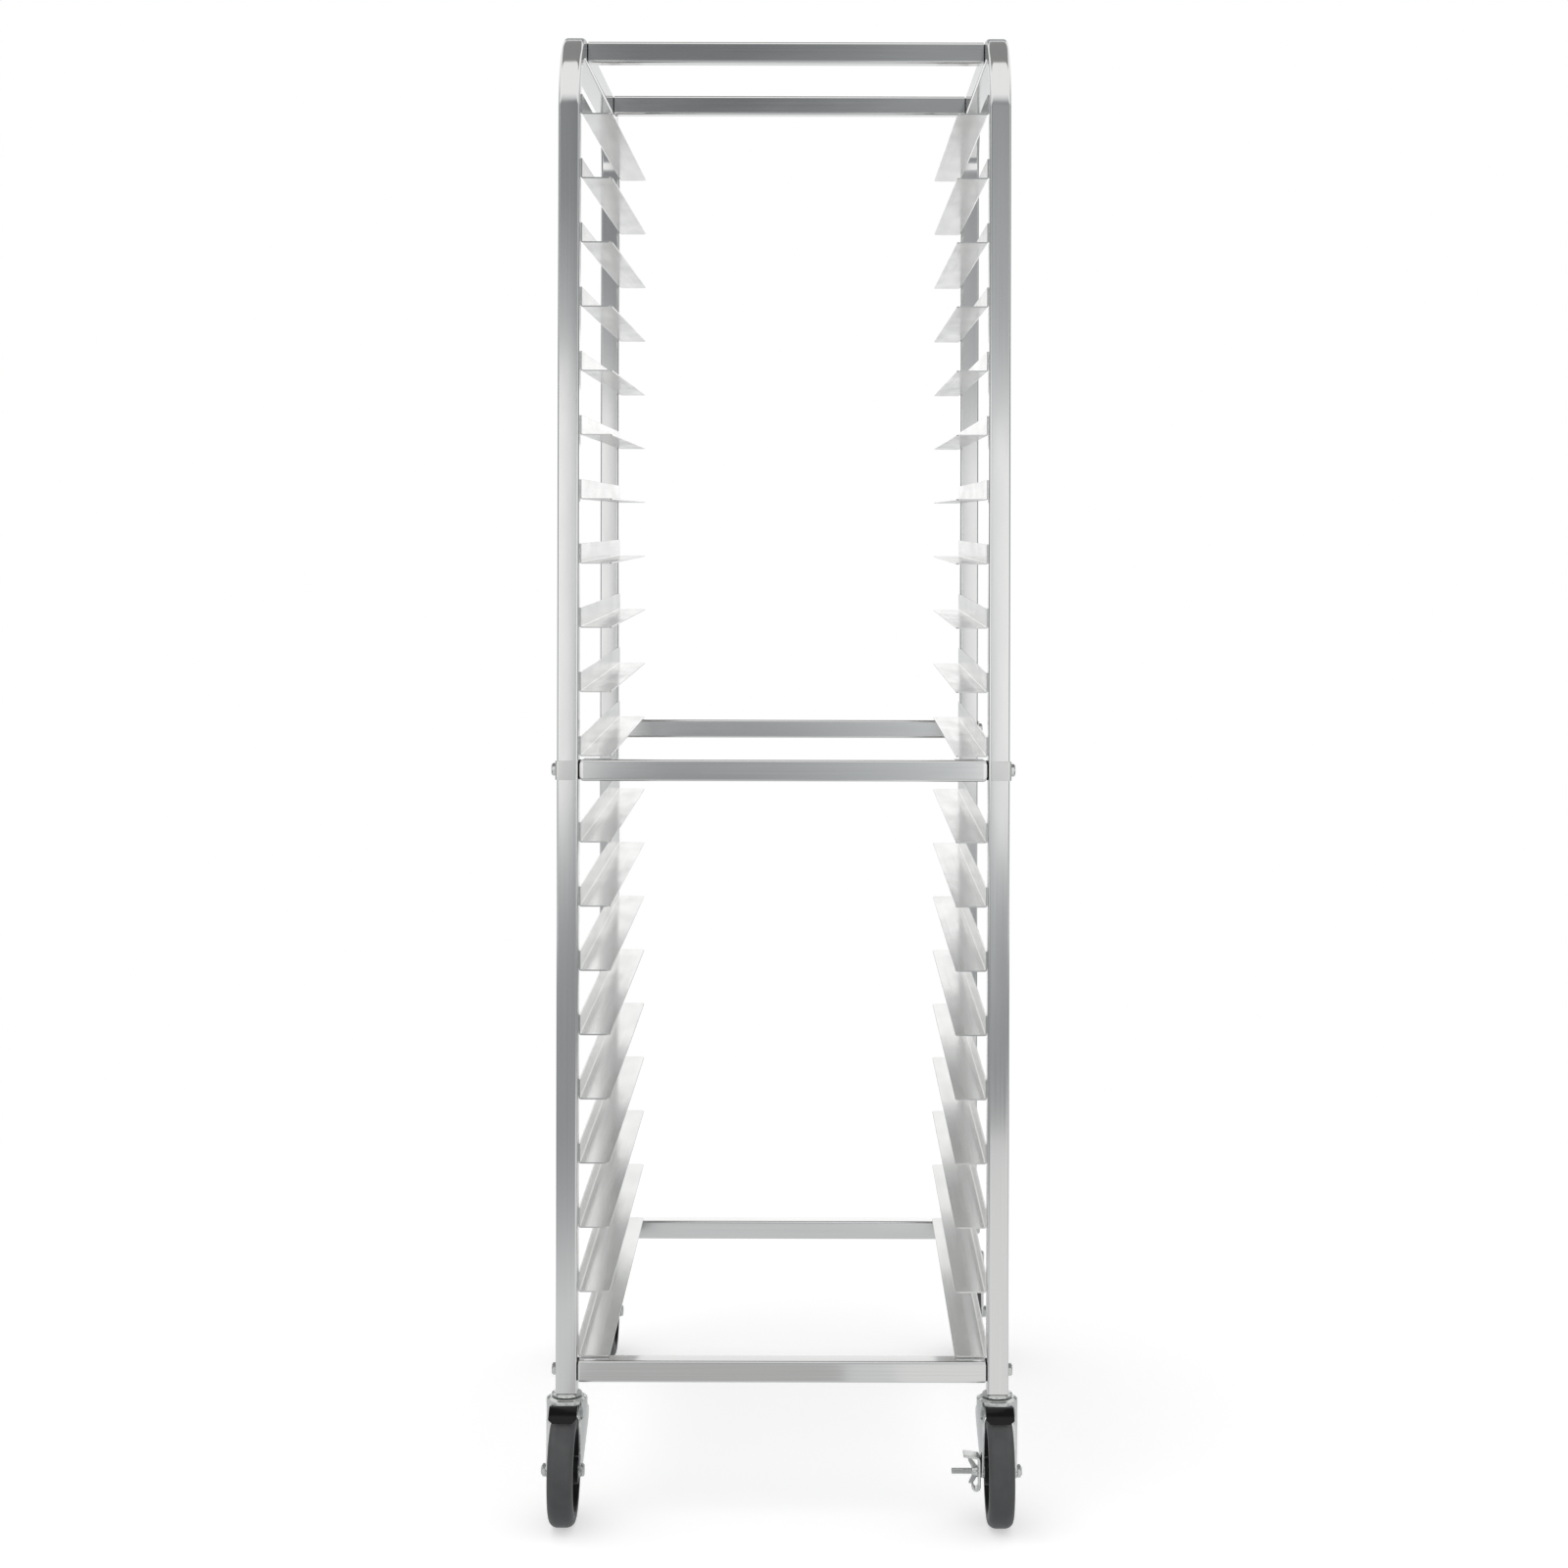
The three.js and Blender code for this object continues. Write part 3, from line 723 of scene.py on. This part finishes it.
    def stem(self, sizes, name, swivel):
        """Upper race, stem and square insert, fixed in the foot of the post. The insert is black so
        that the gap under the post's foot shows a dark line: painted shade.
        """
        bm = bmesh.new()
        foot = sizes.post_foot / MM
        race = [(0.1, 139.5), (15.5, 139.5), (17.6, 140.2), (18.2, 141.3), (17.8, 142.5),
                (15.6, 143.6), (13.0, 143.9), (9.5, 143.9), (9.5, foot + 12), (0.1, foot + 12)]
        turned(bm, [(r * MM, z * MM) for r, z in race], swivel, "z", steps=56)
        make_piece(f"{name}_upper_race", bm, [zinc_steel()], "rack")
        # Black square insert: its black is painted shade in the gap between the post's foot and the
        # race
        bm = bmesh.new()
        rings = []
        for z, size in ((foot - 0.05, 10.4), (foot - 0.05, 10.9), (foot + 16, 10.9)):
            outline = rounded_rectangle(size * MM, size * MM, 1.2 * MM, 3)
            rings.append([swivel + Vector((a, b, z * MM)) for a, b in outline])
        skin(bm, rings)
        make_piece(f"{name}_stem_insert", bm, [core_plastic()], "rack")


class MakeWheels(bpy.types.Operator):
    """Turn the grey treads, black cores and steel bushings of the wheels"""

    bl_idname = "rack.make_wheels"
    bl_label = "Wheels"

    def execute(self, context):
        sizes = context.scene.rack_sizes
        for name, _, wheel in corners():
            body = f"{name}_wheel"
            bm = bmesh.new()
            turned(bm, self.tread_profile(sizes, wheel.z), wheel, "x", steps=128, closed=True)
            make_piece(f"{name}_tread", bm, [tread_rubber()], body,
                       [f"{name}_caster_wheel"])
            bm = bmesh.new()
            turned(bm, self.core_profile(sizes), wheel, "x", steps=96, closed=True)
            make_piece(f"{name}_core", bm, [core_plastic()], body)
            bm = bmesh.new()
            bushing = [(5.0, -18.7), (8.2, -18.7), (8.6, -18.3), (8.6, 18.3), (8.2, 18.7),
                       (5.0, 18.7)]
            turned(bm, [(r * MM, x * MM) for r, x in bushing], wheel, "x", steps=40, closed=True)
            make_piece(f"{name}_bushing", bm, [zinc_steel()], body)
        return {"FINISHED"}

    def tread_profile(self, sizes, radius):
        """Closed profile of the tread: flat middle, round shoulders, thin moulded edge."""
        half = sizes.wheel_width / 2
        deep, wide = 8.5 * MM, 10.5 * MM
        bend = [math.radians(90 * i / 10) for i in range(11)]
        right = [(radius - deep * (1 - math.cos(a)), half - wide * (1 - math.sin(a)))
                 for a in bend]
        left = [(r, -x) for r, x in right[::-1]]
        seam = sizes.core_radius
        side = [(seam + 1.2 * MM, half), (seam, half - 0.6 * MM), (seam, 0.0),
                (seam, -half + 0.6 * MM), (seam + 1.2 * MM, -half)]
        return left + right + side

    def core_profile(self, sizes):
        """Closed profile of the core: rim, dished web and hub, each with a soft edge."""
        seam = sizes.core_radius / MM - 0.05
        half = sizes.wheel_width / MM / 2
        one = [(seam, half - 0.9), (seam - 0.5, half - 0.4), (seam - 2.6, half - 0.4),
               (seam - 3.2, half - 1.0), (seam - 4.6, 7.6), (seam - 6.4, 6.2), (19.0, 6.2),
               (17.0, 7.4), (15.4, 16.4), (14.6, 17.3), (9.0, 17.3)]
        mirrored = [(r, -x) for r, x in one[::-1]]
        return [(r * MM, x * MM) for r, x in one + mirrored]


class MakeBrake(bpy.types.Operator):
    """Make the front right caster's brake lever, long axle bolt and wing nut"""

    bl_idname = "rack.make_brake"
    bl_label = "Brake"

    def execute(self, context):
        low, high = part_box("front_right_caster_wheel")
        axle = (low + high) / 2
        bm = bmesh.new()
        self.thread(bm, axle)
        make_piece("front_right_threaded_axle", bm, [zinc_steel()], "front_right_swivel",
                   ["front_right_axle_bolt"])
        bm = bmesh.new()
        self.lever(bm, axle)
        make_piece("front_right_lever", bm, [zinc_steel()], "front_right_brake",
                   ["front_right_brake_lever"], bevel=0.5 * MM)
        bm = bmesh.new()
        self.wing_nut(bm, axle)
        make_piece("front_right_wing_nut", bm, [zinc_steel()], "front_right_brake",
                   ["front_right_brake_wing_nut"], bevel=0.3 * MM)
        return {"FINISHED"}

    def thread(self, bm, axle):
        """Long bolt, plain inside the wheel and threaded over its outer half."""
        pitch = 1.5
        profile = [(0.1, -55.9), (2.7, -55.9), (3.3, -55.3)]
        x = -55.0
        while x < -20.5:
            profile += [(3.7, x), (3.7, x + pitch * 0.25), (3.1, x + pitch * 0.5),
                        (3.1, x + pitch * 0.75)]
            x += pitch
        profile += [(3.7, -19.8), (3.7, 21.0), (0.1, 21.0)]
        turned(bm, [(r * MM, h * MM) for r, h in profile], axle, "x", steps=32)

    def lever(self, bm, axle):
        """One strip folded into a hooked foot, an upright plate and a pedal."""
        path = [(-31.2, -15.4, 6.6), (-31.0, -18.2, 6.8), (-29.2, -20.4, 7.0), (-26.4, -20.9, 7.4),
                (-24.2, -19.6, 8.0), (-23.4, -16.5, 9.0), (-23.4, -8.0, 10.0), (-23.4, 12.0, 10.0),
                (-23.6, 15.6, 10.0), (-24.9, 17.4, 10.0), (-27.4, 18.1, 10.0), (-38.5, 19.7, 10.0),
                (-42.2, 20.2, 9.2)]
        thick = 1.45
        rings = []
        for i, (x, z, half) in enumerate(path):
            before, after = path[max(i - 1, 0)], path[min(i + 1, len(path) - 1)]
            run = Vector((after[0] - before[0], 0, after[1] - before[1])).normalized()
            off = Vector((-run.z, 0, run.x)) * thick
            ring = [Vector((x, -half, z)) - off, Vector((x, half, z)) - off,
                    Vector((x, half, z)) + off, Vector((x, -half, z)) + off]
            rings.append([axle + point * MM for point in ring])
        skin(bm, rings)

    def wing_nut(self, bm, axle):
        """Turned body with two thin wings that lean outwards."""
        profile = [(3.8, 25.3), (6.8, 25.3), (7.0, 26.0), (6.8, 28.6), (5.6, 31.6), (4.9, 32.3),
                   (3.8, 32.3)]
        turned(bm, [(r * MM, h * MM) for r, h in profile], axle, "x", steps=32, closed=True,
               facing=-1)
        for turn in (60, 240):
            reach = Vector((0, math.cos(math.radians(turn)), math.sin(math.radians(turn))))
            across = Vector((0, -reach.z, reach.y))
            rings = []
            for r, x, half, thick in ((3.6, -29.0, 2.9, 1.6), (7.0, -30.2, 3.3, 1.4),
                                      (10.5, -32.2, 3.3, 1.1), (13.2, -33.8, 2.4, 0.9),
                                      (14.0, -34.3, 1.2, 0.7)):
                outline = rounded_rectangle(half, thick, min(half, thick) * 0.8, 3)
                rings.append([axle + (reach * r + Vector((x + a, 0, 0)) + across * b) * MM
                              for a, b in outline])
            skin(bm, rings)


# ---------------------------------------------------------------- studio

class SetCamera(bpy.types.Operator):
    """Stand the camera in front of the rack at eye height, looking level"""

    bl_idname = "rack.set_camera"
    bl_label = "Camera"

    def execute(self, context):
        camera = bpy.data.objects.new("Camera", bpy.data.cameras.new("Camera"))
        context.scene.collection.objects.link(camera)
        camera.location = (38.8 * MM, FRONT_FACE_Y - 3178.5 * MM, 1177.5 * MM)
        camera.rotation_euler = (math.radians(90), math.radians(-0.13), 0)
        camera.data.sensor_width = 36.0
        camera.data.lens = 61.81
        camera.data.shift_x, camera.data.shift_y = -0.0209, -0.1688
        camera.data.clip_end = 60.0
        context.scene.camera = camera
        return {"FINISHED"}


class SetStage(bpy.types.Operator):
    """Lay the pale floor and set the studio walls, lamp and world"""

    bl_idname = "rack.set_stage"
    bl_label = "Stage"

    def execute(self, context):
        scene = context.scene
        scene.view_settings.view_transform = "Standard"
        self.floor()
        front = FRONT_FACE_Y - 3.19
        # Height in metres and radiance of what the polished faces see on each side
        left_ramp = ((0.0, 0.32), (0.25, 0.45), (0.42, 0.76), (0.56, 1.1), (1.5, 1.1), (1.6, 0.62),
                     (1.8, 0.42), (1.95, 0.3), (2.4, 0.3), (2.8, 0.75), (3.2, 1.0))
        right_ramp = ((0.0, 0.38), (0.2, 0.4), (0.34, 0.6), (0.45, 1.06), (1.36, 1.06), (1.5, 0.6),
                      (1.65, 0.48), (2.0, 0.42), (2.4, 0.3), (2.8, 0.75), (3.2, 1.0))
        screen_ramp = ((0.0, 0.3), (0.58, 0.38), (1.3, 0.5), (1.7, 0.3), (2.32, 0.2), (2.6, 0.2))
        side_ramp = ((0.0, 0.5), (0.8, 0.4), (1.4, 0.32), (2.2, 0.3), (3.0, 0.6), (4.0, 0.9))
        back_ramp = ((0.0, 0.7), (0.8, 0.8), (1.15, 1.1), (1.6, 1.25), (2.0, 1.0), (3.2, 0.7),
                     (4.2, 0.4), (5.6, 0.25))
        self.wall("front_left_wall", (-4.0, front), (-0.5, front), 3.2, left_ramp)
        self.wall("front_right_wall", (-0.5, front), (4.0, front), 3.2, right_ramp)
        self.wall("photographer_screen", (-0.5, front + 0.02), (0.43, front + 0.02), 2.6,
                  screen_ramp, lift_right=1.75)
        self.wall("left_wall", (-5.0, -2.4), (-5.0, 6.0), 4.0, side_ramp)
        self.wall("right_wall", (5.0, 6.0), (5.0, -2.4), 4.0, side_ramp)
        self.wall("left_back_wall", (-5.0, 6.0), (-1.9, 6.0), 4.0, side_ramp)
        self.wall("right_back_wall", (1.9, 6.0), (5.0, 6.0), 4.0, side_ramp)
        self.wall("back_wall", (1.9, 6.0), (-1.9, 6.0), 6.0, back_ramp)
        self.card("ceiling_card", (-3.0, -0.9), (3.0, 4.0), 5.2, 0.3)
        self.card("floor_reflector", (0.15, -2.3), (2.2, -0.4), 0.004, 0.82)
        self.card("floor_flag", (-0.29, -1.05), (0.08, -0.45), 0.004, 0.52)
        self.lamp(scene)
        self.world(scene)
        return {"FINISHED"}

    def plane(self, name, points, material):
        """One flat stage panel, not part of the object."""
        mesh = bpy.data.meshes.new(name)
        mesh.from_pydata(points, [], [tuple(range(len(points)))])
        mesh.materials.append(material)
        panel = bpy.data.objects.new(name, mesh)
        bpy.context.scene.collection.objects.link(panel)
        return panel

    def hide_from_light(self, panel):
        """Leaves a panel to be seen by reflections only."""
        for kind in ("camera", "diffuse", "transmission", "volume_scatter", "shadow"):
            setattr(panel, f"visible_{kind}", False)

    def card(self, name, low, high, z, level):
        """A level studio card of one radiance, for reflections only."""
        material, tree = start_material(f"Studio_{name}")
        glow = add_node(tree, "ShaderNodeEmission", {"Color": (level, level, level, 1.0)})
        add_node(tree, "ShaderNodeOutputMaterial", {"Surface": glow.outputs[0]})
        self.hide_from_light(self.plane(name, [(low[0], low[1], z), (high[0], low[1], z),
                                               (high[0], high[1], z), (low[0], high[1], z)],
                                        material))

    def wall(self, name, start, end, height, ramp, lift_right=1.0):
        """A studio wall that only reflections see, graded by height, and brighter to +X."""
        material, tree = start_material(f"Studio_{name}")
        place = add_node(tree, "ShaderNodeTexCoord")
        parts = add_node(tree, "ShaderNodeSeparateXYZ", {0: place.outputs["Object"]})
        share = add_node(tree, "ShaderNodeMath", {0: parts.outputs["Z"], 1: height},
                         operation="DIVIDE")
        grade = add_node(tree, "ShaderNodeValToRGB", {0: share.outputs[0]})
        self.fill_ramp(grade.color_ramp, [(z / height, level) for z, level in ramp])
        across = add_node(tree, "ShaderNodeMapRange",
                          {"Value": parts.outputs["X"], "From Min": start[0] + 0.35,
                           "From Max": end[0] + 0.001, "To Min": 1.0, "To Max": lift_right})
        glow = add_node(tree, "ShaderNodeEmission",
                        {"Color": grade.outputs["Color"],
                         "Strength": across.outputs[0] if lift_right != 1.0 else 1.0})
        add_node(tree, "ShaderNodeOutputMaterial", {"Surface": glow.outputs[0]})
        self.hide_from_light(self.plane(
            name, [(*start, 0), (*end, 0), (*end, height), (*start, height)], material))

    def fill_ramp(self, ramp, stops):
        """Sets a colour ramp's stops; the darker a stop, the cooler its grey."""
        while len(ramp.elements) < len(stops):
            ramp.elements.new(0.5)
        for element, (position, level) in zip(ramp.elements, stops):
            element.position = min(position, 1.0)
            cool = 0.05 * (1 - min(level, 1.0))
            element.color = (level * (1 - cool), level, level * (1 + cool), 1.0)

    def floor(self):
        """Pale floor that keeps the shadow near the rack and runs out to white."""
        material, tree = start_material("Studio_floor")
        place = add_node(tree, "ShaderNodeTexCoord")
        parts = add_node(tree, "ShaderNodeSeparateXYZ", {0: place.outputs["Object"]})
        flat = add_node(tree, "ShaderNodeCombineXYZ",
                        {0: parts.outputs["X"], 1: parts.outputs["Y"]})
        radius = add_node(tree, "ShaderNodeVectorMath", {0: flat.outputs[0]}, operation="LENGTH")
        out = add_node(tree, "ShaderNodeMapRange",
                       {"Value": radius.outputs["Value"], "From Min": 0.7, "From Max": 2.2},
                       interpolation_type="SMOOTHSTEP")
        rays = add_node(tree, "ShaderNodeLightPath")
        pale = add_node(tree, "ShaderNodeBsdfDiffuse",
                        {"Color": tuple(bpy.context.scene.rack_colours.floor)})
        lift = add_node(tree, "ShaderNodeEmission", {"Strength": 0.48})
        lifted = add_node(tree, "ShaderNodeAddShader", {0: pale.outputs[0], 1: lift.outputs[0]})
        white = add_node(tree, "ShaderNodeEmission", {"Strength": 1.0})
        seen = add_node(tree, "ShaderNodeMixShader",
                        {0: out.outputs[0], 1: lifted.outputs[0], 2: white.outputs[0]})
        grade = add_node(tree, "ShaderNodeValToRGB",
                         {0: add_node(tree, "ShaderNodeMath", {0: radius.outputs["Value"], 1: 5.0},
                                      operation="DIVIDE").outputs[0]})
        self.fill_ramp(grade.color_ramp, [(0.0, 0.66), (0.16, 0.72), (0.23, 0.74), (0.29, 0.6),
                                          (0.36, 0.44), (0.46, 0.35), (0.8, 0.33), (1.0, 0.9)])
        mirrored = add_node(tree, "ShaderNodeEmission", {"Color": grade.outputs["Color"]})
        camera_or_not = add_node(tree, "ShaderNodeMixShader",
                                 {0: rays.outputs["Is Camera Ray"], 1: pale.outputs[0],
                                  2: seen.outputs[0]})
        final = add_node(tree, "ShaderNodeMixShader",
                         {0: rays.outputs["Is Glossy Ray"], 1: camera_or_not.outputs[0],
                          2: mirrored.outputs[0]})
        add_node(tree, "ShaderNodeOutputMaterial", {"Surface": final.outputs[0]})
        reach = 9.0
        self.plane("studio_floor", [(-reach, -reach, 0), (reach, -reach, 0), (reach, reach, 0),
                                    (-reach, reach, 0)], material)

    def lamp(self, scene):
        """One broad overhead lamp for a soft shadow; polished faces see the walls instead."""
        data = bpy.data.lights.new("Overhead_lamp", "AREA")
        data.shape, data.size, data.size_y, data.energy = "RECTANGLE", 3.0, 2.6, 20.0
        lamp = bpy.data.objects.new("Overhead_lamp", data)
        lamp.location = (-0.7, -1.3, 3.4)
        lamp.rotation_euler = (Vector((0, 0, 0.7)) - lamp.location).to_track_quat("-Z", "Y").to_euler()
        lamp.visible_glossy = False
        scene.collection.objects.link(lamp)

    def world(self, scene):
        """White all round for the camera and mirrors, a little softer as a light."""
        world = bpy.data.worlds.new("Studio_world")
        world.use_nodes = True
        tree = world.node_tree
        tree.nodes.clear()
        rays = add_node(tree, "ShaderNodeLightPath")
        seen = add_node(tree, "ShaderNodeMath",
                        {0: rays.outputs["Is Camera Ray"], 1: rays.outputs["Is Glossy Ray"]},
                        operation="MAXIMUM")
        clear = add_node(tree, "ShaderNodeMath",
                         {0: seen.outputs[0], 1: rays.outputs["Is Transmission Ray"]},
                         operation="MAXIMUM")
        strength = add_node(tree, "ShaderNodeMapRange",
                            {"Value": clear.outputs[0], "To Min": 0.86, "To Max": 1.0})
        sky = add_node(tree, "ShaderNodeBackground", {"Strength": strength.outputs[0]})
        sky.inputs["Color"].default_value = (1, 1, 1, 1)
        add_node(tree, "ShaderNodeOutputWorld", {"Surface": sky.outputs[0]})
        scene.world = world


class RackPanel(bpy.types.Panel):
    """Buttons for each kind of piece, with the sizes and colours they use"""

    bl_idname = "VIEW3D_PT_sheet_pan_rack"
    bl_label = "Sheet pan rack"
    bl_space_type = "VIEW_3D"
    bl_region_type = "UI"
    bl_category = "Rack"

    def draw(self, context):
        for step in STEPS:
            self.layout.operator(step.bl_idname)
        for group in (context.scene.rack_sizes, context.scene.rack_colours):
            column = self.layout.column(align=True)
            for name in group.bl_rna.properties.keys():
                if name not in ("rna_type", "name"):
                    column.prop(group, name)


STEPS = (SetCamera, MakeSideFrames, MakeStrapsAndBolts, MakeCrossbars, MakeRunners,
         MakeSwivelForks, MakeWheels, MakeBrake, SetStage)
CLASSES = (RackSizes, RackColours, *STEPS, RackPanel)


def register():
    for one in CLASSES:
        bpy.utils.register_class(one)
    bpy.types.Scene.rack_sizes = PointerProperty(type=RackSizes)
    bpy.types.Scene.rack_colours = PointerProperty(type=RackColours)


def unregister():
    del bpy.types.Scene.rack_colours
    del bpy.types.Scene.rack_sizes
    for one in reversed(CLASSES):
        bpy.utils.unregister_class(one)


def main():
    register()
    bpy.ops.rack.set_camera()
    bpy.ops.rack.make_side_frames()
    bpy.ops.rack.make_straps_and_bolts()
    bpy.ops.rack.make_crossbars()
    bpy.ops.rack.make_runners()
    bpy.ops.rack.make_swivel_forks()
    bpy.ops.rack.make_wheels()
    bpy.ops.rack.make_brake()
    bpy.ops.rack.set_stage()


if __name__ == "__main__":
    main()
